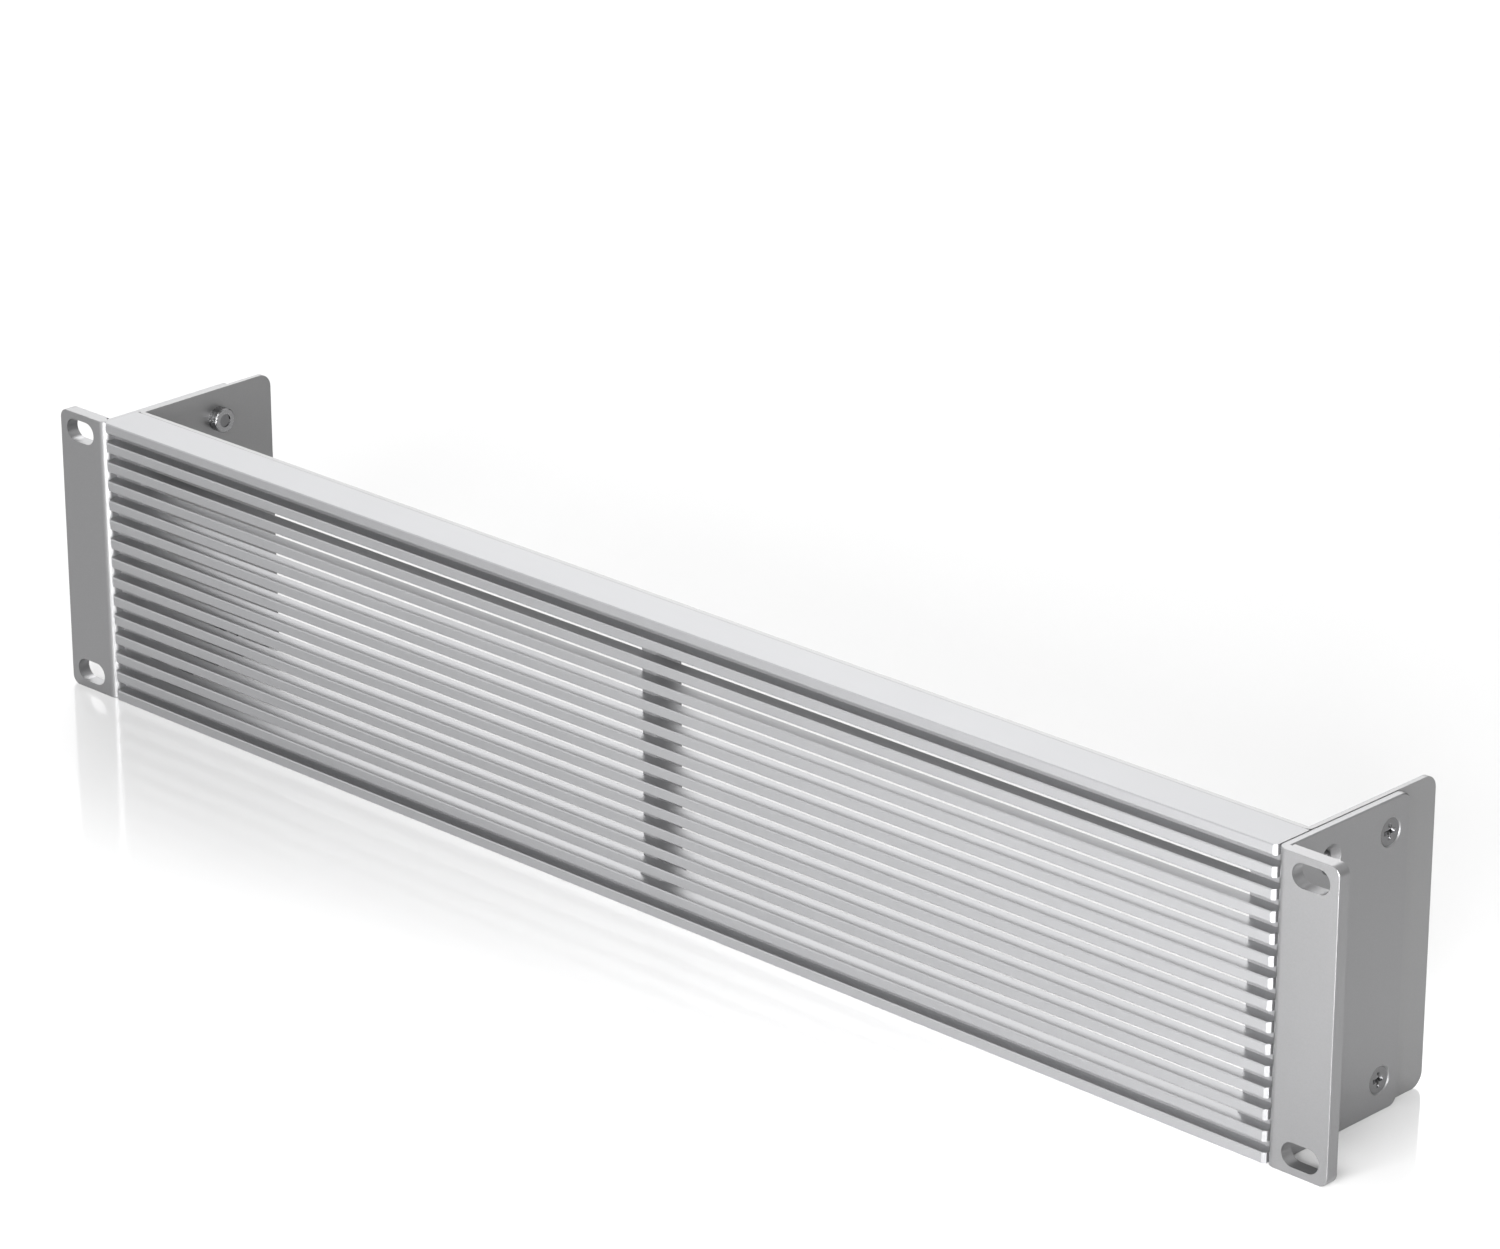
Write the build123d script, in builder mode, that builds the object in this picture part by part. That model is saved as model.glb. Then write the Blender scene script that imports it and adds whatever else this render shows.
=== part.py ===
from build123d import *
import os

# A 19-inch, two-unit vented blanking panel for an equipment rack, in millimetres.
# Origin: centre of the four rack slots, on the rear face of the ears.
# X runs left to right seen from the front, -Y is the front, +Z is up.

# Overall sizes and the slots' places, from the rack standard: slot centres 465.1 by 76.2 apart
panel_width = 482.6
grille_height = 87.5
slot_inset_x = 8.75
slot_inset_z = 5.65

# Grille frame
bar_count = 15
bar_height = 3.05
bar_depth = 4.45
bar_bevel = 0.3
bar_end_cut = 0.95
bar_seat_depth = 0.3
bar_seat_clearance = 0.04
bar_proud = 0.2
frame_depth = 13.1
rail_height = 8.0
end_rib_width = 10.9
centre_rib_width = 5.0
window_corner_radius = 4.5
frame_edge_bevel = 0.08

# Carrier, one sheet folded to a U behind the grille
sheet_thickness = 1.5
sheet_bend_radius = 1.8
carrier_reach = 59.5
carrier_corner_radius = 4.2
carrier_window_margin = 0.5
carrier_edge_bevel = 0.08

# Rack ears, thick plates with a thinner flange running back
ear_width = 19.95
ear_thickness = 4.0
ear_top_drop = 0.2
ear_corner_radius = 2.7
ear_bend_radius = 2.75
ear_edge_bevel = 0.12
slot_length = 12.0
slot_height = 6.8
flange_thickness = 2.25
flange_reach = 46.2
flange_corner_radius = 2.8
flange_edge_bevel = 0.35
relief_width = 0.4
relief_depth = 1.1

# Bracket fixings: two rows of threaded standoffs, screws in the rear row only
fixing_front_gap = 4.6
fixing_rear_inset = 7.5
fixing_inset_z = 9.25
bracket_hole_radius = 2.2
countersink_radius = 4.05
countersink_angle = 90
standoff_radius = 3.75
standoff_length = 3.0
standoff_shank_radius = 2.75
standoff_bore_radius = 2.0
standoff_rim_bevel = 0.3

# Countersunk ear screws
ear_screw_radius = 1.95
ear_screw_head_radius = 3.7
ear_screw_sink = 0.3
ear_screw_inset = 0.6
ear_recess_span = 4.4
ear_recess_width = 1.3
ear_recess_depth = 1.0
ear_recess_taper = 28

# Pan-head screws from behind, which hold the carrier to the end ribs
rib_screw_radius = 1.45
rib_screw_clearance = 0.15
rib_thread_clearance = 0.04
rib_screw_depth = 5.5
rib_thread_spare = 1.0
rib_screw_head_radius = 2.75
rib_screw_head_height = 2.0
rib_screw_head_bevel = 0.5
rib_recess_span = 3.2
rib_recess_width = 0.8
rib_recess_depth = 1.1
rib_recess_taper = 15
rib_screw_inset_z = 18.75

# Places that follow from the sizes above
frame_width = panel_width - 2 * ear_width
frame_edge_x = frame_width / 2
sheet_inner_x = frame_edge_x - sheet_thickness
flange_outer_x = frame_edge_x + flange_thickness
ear_edge_x = panel_width / 2
grille_top = grille_height / 2
grille_bottom = -grille_top
ear_height = grille_height - ear_top_drop
slot_x = ear_edge_x - slot_inset_x
slot_z = grille_top - slot_inset_z
fixing_z = grille_top - fixing_inset_z
rib_screw_z = grille_top - rib_screw_inset_z
ear_front_y = -ear_thickness
frame_front_y = ear_front_y - bar_proud
frame_rear_y = frame_front_y + frame_depth
web_rear_y = frame_rear_y + sheet_thickness
bar_rear_y = frame_front_y + bar_depth
rib_front_y = bar_rear_y - bar_seat_depth
window_height = grille_height - 2 * rail_height
window_width = (frame_width - 2 * end_rib_width - centre_rib_width) / 2
window_x = (centre_rib_width + window_width) / 2
bar_pitch = (grille_height - bar_height) / (bar_count - 1)
fixing_rows_y = {"front": web_rear_y + fixing_front_gap, "rear": flange_reach - fixing_rear_inset}
fixing_rows_z = {"upper": fixing_z, "lower": -fixing_z}
rib_screw_rows_z = {"upper": rib_screw_z, "lower": -rib_screw_z}
rib_screw_x = frame_edge_x - end_rib_width / 2
sides = {"left": -1, "right": 1}

os.makedirs("parts", exist_ok=True)


def save(solid, name):
    """Label a finished piece and write it as its own STEP file."""
    solid.label = name
    export_step(solid, f"parts/{name}.step")


def strip_outline(rear_y):
    """Plan outline of a front strip, from its rear edge to its cut front corners."""
    cut_x = frame_edge_x - bar_end_cut
    cut_y = frame_front_y + bar_end_cut
    with BuildLine() as outline:
        Polyline(
            (-frame_edge_x, rear_y),
            (-frame_edge_x, cut_y),
            (-cut_x, frame_front_y),
            (cut_x, frame_front_y),
            (frame_edge_x, cut_y),
            (frame_edge_x, rear_y),
            close=True,
        )
    make_face(outline.edges())


# Grille frame: rails and ribs round two windows, with the top and bottom bars as its lips
with BuildPart() as grille_frame:
    with BuildSketch(Plane.XY.offset(grille_bottom)):
        with Locations((0, (rib_front_y + frame_rear_y) / 2)):
            Rectangle(frame_width, frame_rear_y - rib_front_y)
    extrude(amount=grille_height)
    for lip_base in (grille_bottom, grille_top - bar_height):
        with BuildSketch(Plane.XY.offset(lip_base)):
            strip_outline(rib_front_y)
        extrude(amount=bar_height)
    with BuildSketch(Plane.XZ.offset(-frame_rear_y)):
        with Locations((-window_x, 0), (window_x, 0)):
            RectangleRounded(window_width, window_height, window_corner_radius)
    extrude(amount=frame_depth, mode=Mode.SUBTRACT)
    with BuildSketch(Plane.YZ.offset(-frame_edge_x)):
        with Locations((bar_rear_y - bar_seat_depth / 2, 0)):
            with GridLocations(0, bar_pitch, 1, bar_count - 2):
                Rectangle(bar_seat_depth, bar_height + 2 * bar_seat_clearance)
    extrude(amount=frame_width, mode=Mode.SUBTRACT)
    with BuildSketch(Plane.XZ.offset(-frame_rear_y)):
        with GridLocations(2 * rib_screw_x, 2 * rib_screw_z, 2, 2):
            Circle(rib_screw_radius + rib_thread_clearance)
    extrude(amount=rib_screw_depth + rib_thread_spare, mode=Mode.SUBTRACT)
    long_edges = grille_frame.edges().filter_by(Axis.X)
    front_edges = long_edges.group_by(Axis.Y)[0]
    rear_edges = long_edges.group_by(Axis.Y)[-1]
    outer_rear_edges = rear_edges.group_by(Axis.Z)[0] + rear_edges.group_by(Axis.Z)[-1]
    chamfer(front_edges, bar_bevel)
    chamfer(outer_rear_edges, frame_edge_bevel)
save(grille_frame.part, "grille_frame")


# Louvre bars: flat strips seated in the comb of the frame, numbered from the top
for bar_index in range(1, bar_count - 1):
    bar_base = grille_top - bar_height - bar_index * bar_pitch
    with BuildPart() as louvre_bar:
        with BuildSketch(Plane.XY.offset(bar_base)):
            strip_outline(bar_rear_y)
        extrude(amount=bar_height)
        chamfer(louvre_bar.edges().filter_by(Axis.X).group_by(Axis.Y)[0], bar_bevel)
    save(louvre_bar.part, f"louvre_bar_{bar_index:02d}")


# Carrier: a web with two windows behind the frame, folded back at both ends into side arms
with BuildPart() as carrier:
    bend_x = frame_edge_x - sheet_bend_radius
    bend_y = frame_rear_y + sheet_bend_radius
    inner_bend_radius = sheet_bend_radius - sheet_thickness
    with BuildSketch(Plane.XY.offset(grille_bottom)):
        with BuildLine():
            Line((-bend_x, frame_rear_y), (bend_x, frame_rear_y))
            RadiusArc((bend_x, frame_rear_y), (frame_edge_x, bend_y), -sheet_bend_radius)
            Polyline((frame_edge_x, bend_y), (frame_edge_x, carrier_reach), (sheet_inner_x, carrier_reach))
            Line((sheet_inner_x, carrier_reach), (sheet_inner_x, bend_y))
            RadiusArc((sheet_inner_x, bend_y), (bend_x, web_rear_y), inner_bend_radius)
            Line((bend_x, web_rear_y), (-bend_x, web_rear_y))
            RadiusArc((-bend_x, web_rear_y), (-sheet_inner_x, bend_y), inner_bend_radius)
            Line((-sheet_inner_x, bend_y), (-sheet_inner_x, carrier_reach))
            Polyline((-sheet_inner_x, carrier_reach), (-frame_edge_x, carrier_reach), (-frame_edge_x, bend_y))
            RadiusArc((-frame_edge_x, bend_y), (-bend_x, frame_rear_y), -sheet_bend_radius)
        make_face()
    extrude(amount=grille_height)
    fillet(carrier.edges().filter_by(Axis.X).group_by(Axis.Y)[-1], carrier_corner_radius)
    web_front_edges = carrier.faces().filter_by(Axis.Y).sort_by(Axis.Y)[0].edges().filter_by(Axis.X)
    chamfer(web_front_edges, carrier_edge_bevel)
    with BuildSketch(Plane.XZ.offset(-web_rear_y)):
        with Locations((-window_x, 0), (window_x, 0)):
            RectangleRounded(
                window_width + 2 * carrier_window_margin,
                window_height + 2 * carrier_window_margin,
                window_corner_radius + carrier_window_margin,
            )
        with GridLocations(2 * rib_screw_x, 2 * rib_screw_z, 2, 2):
            Circle(rib_screw_radius + rib_screw_clearance)
    extrude(amount=sheet_thickness, mode=Mode.SUBTRACT)
    with BuildSketch(Plane.YZ.offset(-frame_edge_x)):
        for row_y in fixing_rows_y.values():
            with Locations((row_y, fixing_z), (row_y, -fixing_z)):
                Circle(standoff_shank_radius)
    extrude(amount=frame_width, mode=Mode.SUBTRACT)
save(carrier.part, "carrier")


# Rack ears: an L in plan, its lower edge level with the grille, slotted and countersunk
with BuildPart() as right_rack_ear:
    relief_x = flange_outer_x + relief_width
    with BuildSketch(Plane.XY.offset(grille_bottom)):
        with BuildLine():
            Line((frame_edge_x, flange_reach), (frame_edge_x, ear_front_y + ear_bend_radius))
            RadiusArc(
                (frame_edge_x, ear_front_y + ear_bend_radius),
                (frame_edge_x + ear_bend_radius, ear_front_y),
                -ear_bend_radius,
            )
            Polyline(
                (frame_edge_x + ear_bend_radius, ear_front_y),
                (ear_edge_x, ear_front_y),
                (ear_edge_x, 0),
                (relief_x, 0),
                (relief_x, -relief_depth),
                (flange_outer_x, -relief_depth),
                (flange_outer_x, flange_reach),
                (frame_edge_x, flange_reach),
            )
        make_face()
    extrude(amount=ear_height)
    fillet(right_rack_ear.edges().filter_by(Axis.Y).group_by(Axis.X)[-1], ear_corner_radius)
    fillet(right_rack_ear.edges().filter_by(Axis.X).group_by(Axis.Y)[-1], flange_corner_radius)
    long_edges = right_rack_ear.edges().filter_by(Axis.Y)
    outer_edges = long_edges.filter_by_position(Axis.X, flange_outer_x - 0.01, flange_outer_x + 0.01)
    chamfer(outer_edges, flange_edge_bevel)
    front_edges = right_rack_ear.faces().sort_by(Axis.Y)[0].edges()
    bend_edge = front_edges.sort_by(Axis.X)[0]
    chamfer(front_edges - [bend_edge], ear_edge_bevel)
    with BuildSketch(Plane.XZ):
        with Locations((slot_x, slot_z), (slot_x, -slot_z)):
            SlotOverall(slot_length, slot_height)
    extrude(amount=ear_thickness, mode=Mode.SUBTRACT)
    for row_y in fixing_rows_y.values():
        for row_z in fixing_rows_z.values():
            with Locations(Plane((flange_outer_x, row_y, row_z), x_dir=(0, 1, 0), z_dir=(1, 0, 0))):
                CounterSinkHole(bracket_hole_radius, countersink_radius, flange_thickness, countersink_angle)
save(right_rack_ear.part, "right_rack_ear")

with BuildPart() as left_rack_ear:
    mirror(right_rack_ear.part, about=Plane.YZ)
save(left_rack_ear.part, "left_rack_ear")


def outward_plane(side, x, y, z):
    """A plane across the X axis whose normal points out of the given side."""
    return Plane(origin=(side * x, y, z), x_dir=(0, 1, 0), z_dir=(side, 0, 0))


def standoff(plane):
    """A press-in threaded standoff: shank through the sheet, body standing on its inner face."""
    with BuildPart(plane) as piece:
        with Locations((0, 0, -sheet_thickness / 2)):
            Cylinder(standoff_shank_radius, sheet_thickness)
        with Locations((0, 0, -sheet_thickness - standoff_length / 2)):
            Cylinder(standoff_radius, standoff_length)
        bevel_edges = piece.edges().filter_by(GeomType.CIRCLE).group_by(Axis.X)
        inner_end = bevel_edges[0] if plane.z_dir.X > 0 else bevel_edges[-1]
        chamfer(inner_end, standoff_rim_bevel)
        with Locations((0, 0, -(sheet_thickness + standoff_length) / 2)):
            Cylinder(standoff_bore_radius, sheet_thickness + standoff_length, mode=Mode.SUBTRACT)
    return piece.part


def cross_recess(plane, span, width, depth, taper):
    """A cross-shaped driver recess with leaning walls, cut down from the given plane."""
    with BuildSketch(plane) as cross:
        Rectangle(span, width)
        Rectangle(width, span)
    extrude(cross.sketch, amount=-depth, taper=taper, mode=Mode.SUBTRACT)


def ear_screw(plane):
    """A countersunk screw, its flat head a little below the flange's outer face."""
    head_drop = ear_screw_head_radius - ear_screw_radius
    tip = flange_thickness + sheet_thickness + standoff_length - ear_screw_inset
    top_plane = plane.offset(-ear_screw_sink)
    with BuildPart(top_plane) as piece:
        with Locations((0, 0, -head_drop / 2)):
            Cone(ear_screw_radius, ear_screw_head_radius, head_drop)
        with Locations((0, 0, -tip / 2)):
            Cylinder(ear_screw_radius, tip)
        cross_recess(top_plane, ear_recess_span, ear_recess_width, ear_recess_depth, ear_recess_taper)
    return piece.part


def rib_screw(plane):
    """A pan-head screw from behind, through the carrier into an end rib."""
    length = sheet_thickness + rib_screw_depth
    with BuildPart(plane) as piece:
        with Locations((0, 0, -length / 2)):
            Cylinder(rib_screw_radius, length)
        with Locations((0, 0, rib_screw_head_height / 2)):
            Cylinder(rib_screw_head_radius, rib_screw_head_height)
        fillet(piece.edges().filter_by(GeomType.CIRCLE).group_by(Axis.Y)[-1], rib_screw_head_bevel)
        head_plane = plane.offset(rib_screw_head_height)
        cross_recess(head_plane, rib_recess_span, rib_recess_width, rib_recess_depth, rib_recess_taper)
    return piece.part


# Standoffs and screws, side by side and row by row
for side_name, side in sides.items():
    for row_name, row_y in fixing_rows_y.items():
        for level_name, row_z in fixing_rows_z.items():
            seat_plane = outward_plane(side, frame_edge_x, row_y, row_z)
            save(standoff(seat_plane), f"{side_name}_standoff_{row_name}_{level_name}")
    for level_name, row_z in fixing_rows_z.items():
        face_plane = outward_plane(side, flange_outer_x, fixing_rows_y["rear"], row_z)
        save(ear_screw(face_plane), f"{side_name}_ear_screw_{level_name}")
    for level_name, row_z in rib_screw_rows_z.items():
        web_plane = Plane(origin=(side * rib_screw_x, web_rear_y, row_z), x_dir=(1, 0, 0), z_dir=(0, 1, 0))
        save(rib_screw(web_plane), f"{side_name}_rib_screw_{level_name}")
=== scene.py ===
from math import cos, radians, sin

import bpy
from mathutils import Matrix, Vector


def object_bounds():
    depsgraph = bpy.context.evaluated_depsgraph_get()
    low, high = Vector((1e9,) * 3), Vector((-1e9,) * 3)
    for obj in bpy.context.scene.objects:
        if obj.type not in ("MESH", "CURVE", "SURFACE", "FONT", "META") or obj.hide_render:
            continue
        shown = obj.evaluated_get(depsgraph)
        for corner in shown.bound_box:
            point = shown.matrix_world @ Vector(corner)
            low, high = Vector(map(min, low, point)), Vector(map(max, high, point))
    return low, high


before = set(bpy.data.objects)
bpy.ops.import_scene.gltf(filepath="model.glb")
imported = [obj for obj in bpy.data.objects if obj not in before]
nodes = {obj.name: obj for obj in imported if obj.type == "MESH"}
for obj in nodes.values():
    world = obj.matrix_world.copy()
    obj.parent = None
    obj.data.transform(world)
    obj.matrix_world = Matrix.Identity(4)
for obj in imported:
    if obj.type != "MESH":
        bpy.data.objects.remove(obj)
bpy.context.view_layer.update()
scene = bpy.context.scene
scene.view_settings.view_transform = "Standard"


# Shader maths: a socket or a number that Python's operators join with Math nodes

class Value:
    """One shader value, with the operators that the finishes use."""

    def __init__(self, tree, socket):
        self.tree = tree
        self.socket = socket

    def join(self, operation, first, second):
        node = self.tree.nodes.new("ShaderNodeMath")
        node.operation = operation
        for place, item in enumerate((first, second)):
            if isinstance(item, Value):
                self.tree.links.new(item.socket, node.inputs[place])
            else:
                node.inputs[place].default_value = item
        return Value(self.tree, node.outputs[0])

    def __add__(self, other):
        return self.join("ADD", self, other)

    def __radd__(self, other):
        return self.join("ADD", other, self)

    def __sub__(self, other):
        return self.join("SUBTRACT", self, other)

    def __rsub__(self, other):
        return self.join("SUBTRACT", other, self)

    def __mul__(self, other):
        return self.join("MULTIPLY", self, other)

    def __rmul__(self, other):
        return self.join("MULTIPLY", other, self)


class Finish:
    """A material with its shader, and one method that adds any other node."""

    def __init__(self, name):
        self.material = bpy.data.materials.new(name)
        self.material.use_nodes = True
        self.tree = self.material.node_tree
        self.shader = self.tree.nodes["Principled BSDF"]

    def node(self, kind, settings=None, inputs=None):
        made = self.tree.nodes.new(kind)
        for name, value in (settings or {}).items():
            setattr(made, name, value)
        for name, value in (inputs or {}).items():
            self.feed(made.inputs[name], value)
        return made

    def feed(self, socket, value):
        if isinstance(value, Value):
            self.tree.links.new(value.socket, socket)
        elif isinstance(value, bpy.types.NodeSocket):
            self.tree.links.new(value, socket)
        else:
            socket.default_value = value

    def set(self, name, value):
        self.feed(self.shader.inputs[name], value)

    def noise(self, scale, detail):
        place = self.node("ShaderNodeTexCoord").outputs["Object"]
        made = self.node(
            "ShaderNodeTexNoise",
            inputs={"Vector": place, "Scale": scale, "Detail": detail, "Roughness": noise_roughness},
        )
        return Value(self.tree, made.outputs["Fac"])

    def colour(self, amount, dark, light):
        made = self.node(
            "ShaderNodeMix",
            settings={"data_type": "RGBA"},
            inputs={0: amount, 6: (*dark, 1.0), 7: (*light, 1.0)},
        )
        return made.outputs[2]

    def bump(self, height, strength, distance):
        made = self.node(
            "ShaderNodeBump",
            inputs={"Height": height, "Strength": strength, "Distance": distance},
        )
        return made.outputs["Normal"]


# Metal finishes: each noise runs from 0 to 1 about its middle, and scales count waves in a metre

noise_roughness = 0.6
noise_middle = 0.5

grain_scale = 2600.0
grain_detail = 2.0
grain_share = 0.75
grain_gloss_change = 0.10
grain_strength = 0.2
grain_height = 0.00006
cloud_scale = 24.0
cloud_detail = 2.0
cloud_share = 0.25
cloud_gloss_change = 0.05

turning_scale = 1500.0
turning_detail = 3.0
turning_gloss_change = 0.12
turning_strength = 0.15
turning_height = 0.00004


def anodised(name, dark, light, roughness, metallic):
    """Blasted and anodised aluminium: fine grain, with faint slow changes of tone."""
    finish = Finish(name)
    grain = finish.noise(grain_scale, grain_detail)
    cloud = finish.noise(cloud_scale, cloud_detail)
    tone = grain * grain_share + cloud * cloud_share
    grain_gloss = (grain - noise_middle) * grain_gloss_change
    cloud_gloss = (cloud - noise_middle) * cloud_gloss_change
    finish.set("Base Color", finish.colour(tone, dark, light))
    finish.set("Metallic", metallic)
    finish.set("Roughness", roughness + grain_gloss + cloud_gloss)
    finish.set("Normal", finish.bump(grain, grain_strength, grain_height))
    return finish.material


def plated(name, dark, light, roughness):
    """Plated steel: smoother and with a trace of turning marks."""
    finish = Finish(name)
    marks = finish.noise(turning_scale, turning_detail)
    finish.set("Base Color", finish.colour(marks, dark, light))
    finish.set("Metallic", 1.0)
    finish.set("Roughness", roughness + (marks - noise_middle) * turning_gloss_change)
    finish.set("Normal", finish.bump(marks, turning_strength, turning_height))
    return finish.material


grille_finish = anodised(
    "grille_anodised",
    dark=(0.268, 0.269, 0.275), light=(0.325, 0.326, 0.334), roughness=0.47, metallic=0.82,
)
sheet_finish = anodised(
    "sheet_anodised",
    dark=(0.24, 0.24, 0.242), light=(0.292, 0.292, 0.294), roughness=0.42, metallic=0.90,
)
ear_finish = anodised(
    "ear_anodised",
    dark=(0.235, 0.235, 0.238), light=(0.288, 0.288, 0.293), roughness=0.42, metallic=0.95,
)
screw_finish = plated(
    "screw_plated",
    dark=(0.14, 0.14, 0.143), light=(0.20, 0.20, 0.204), roughness=0.22,
)
standoff_finish = plated(
    "standoff_plated",
    dark=(0.26, 0.26, 0.264), light=(0.34, 0.34, 0.345), roughness=0.26,
)


def dress(node, material):
    node.data.materials.clear()
    node.data.materials.append(material)


for name, node in nodes.items():
    if name == "carrier":
        dress(node, sheet_finish)
    elif name.endswith("rack_ear"):
        dress(node, ear_finish)
    elif "screw" in name:
        dress(node, screw_finish)
    elif "standoff" in name:
        dress(node, standoff_finish)
    else:
        dress(node, grille_finish)


# Studio: a pale floor that mirrors a little, a white surround and soft lights

floor_size = 24.0
floor_gap = 0.00005
floor_white = 0.79
floor_roughness = 0.08
surround_strength = 0.2

floor_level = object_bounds()[0].z
bpy.ops.object.select_all(action="DESELECT")
bpy.ops.mesh.primitive_plane_add(size=floor_size, location=(0.0, 0.0, floor_level - floor_gap))
floor = bpy.context.object
floor.name = "studio_floor"
floor_finish = Finish("floor_white")
floor_finish.set("Base Color", (floor_white, floor_white, floor_white, 1.0))
floor_finish.set("Roughness", floor_roughness)
floor.data.materials.append(floor_finish.material)

world = bpy.data.worlds.new("studio")
scene.world = world
world.use_nodes = True
surround = world.node_tree.nodes["Background"]
surround.inputs["Color"].default_value = (1.0, 1.0, 1.0, 1.0)
surround.inputs["Strength"].default_value = surround_strength


def softbox(name, azimuth, elevation, power, distance=2.0, size=1.2):
    """A square light that faces the panel; azimuth 0 is in front, 90 on its right."""
    lamp = bpy.data.lights.new(name, "AREA")
    lamp.shape = "SQUARE"
    lamp.size = size
    lamp.energy = power
    holder = bpy.data.objects.new(name, lamp)
    scene.collection.objects.link(holder)
    turn = radians(azimuth)
    rise = radians(elevation)
    direction = Vector((sin(turn) * cos(rise), -cos(turn) * cos(rise), sin(rise)))
    holder.location = direction * distance
    holder.rotation_euler = (-direction).to_track_quat("-Z", "Y").to_euler()


softbox("backdrop", -136, 24, power=38.0, distance=3.0, size=3.2)
softbox("back_left_high", -134, 42, power=16.2)
softbox("back_high", 170, 42, power=3.5)
softbox("back_right_high", 125, 42, power=4.5)
softbox("back_right_low", 130, 15, power=2.0)
softbox("front_left_high", -55, 42, power=12.0)
softbox("front", -8, 12, power=4.0)
softbox("front_right", 55, 12, power=5.0)
softbox("front_near", 20, 10, power=15.5, distance=0.9, size=0.5)
softbox("corner_near", 50, 8, power=6.0, distance=0.7, size=0.25)
softbox("glint", 58, 41, power=4.0, size=0.3)


# Camera: fitted to the photograph's edges; its view axis meets the picture low, near the panel

picture_width_px = 1500.0
picture_height_px = 1249.0
view_axis_px = (756.8, 814.9)
lens_px = 5908.2
sensor_width = 36.0
camera_place = (1.0506, -1.0456, 0.6259)
degrees_down = 23.421
degrees_round = 44.011

camera = bpy.data.cameras.new("camera")
camera.sensor_width = sensor_width
camera.lens = lens_px * sensor_width / picture_width_px
camera.shift_x = (picture_width_px / 2 - view_axis_px[0]) / picture_width_px
camera.shift_y = (view_axis_px[1] - picture_height_px / 2) / picture_width_px
camera.clip_start = 0.1
camera.clip_end = 100.0
stand = bpy.data.objects.new("camera", camera)
scene.collection.objects.link(stand)
stand.location = camera_place
stand.rotation_euler = (radians(90.0 - degrees_down), 0.0, radians(degrees_round))
scene.camera = stand
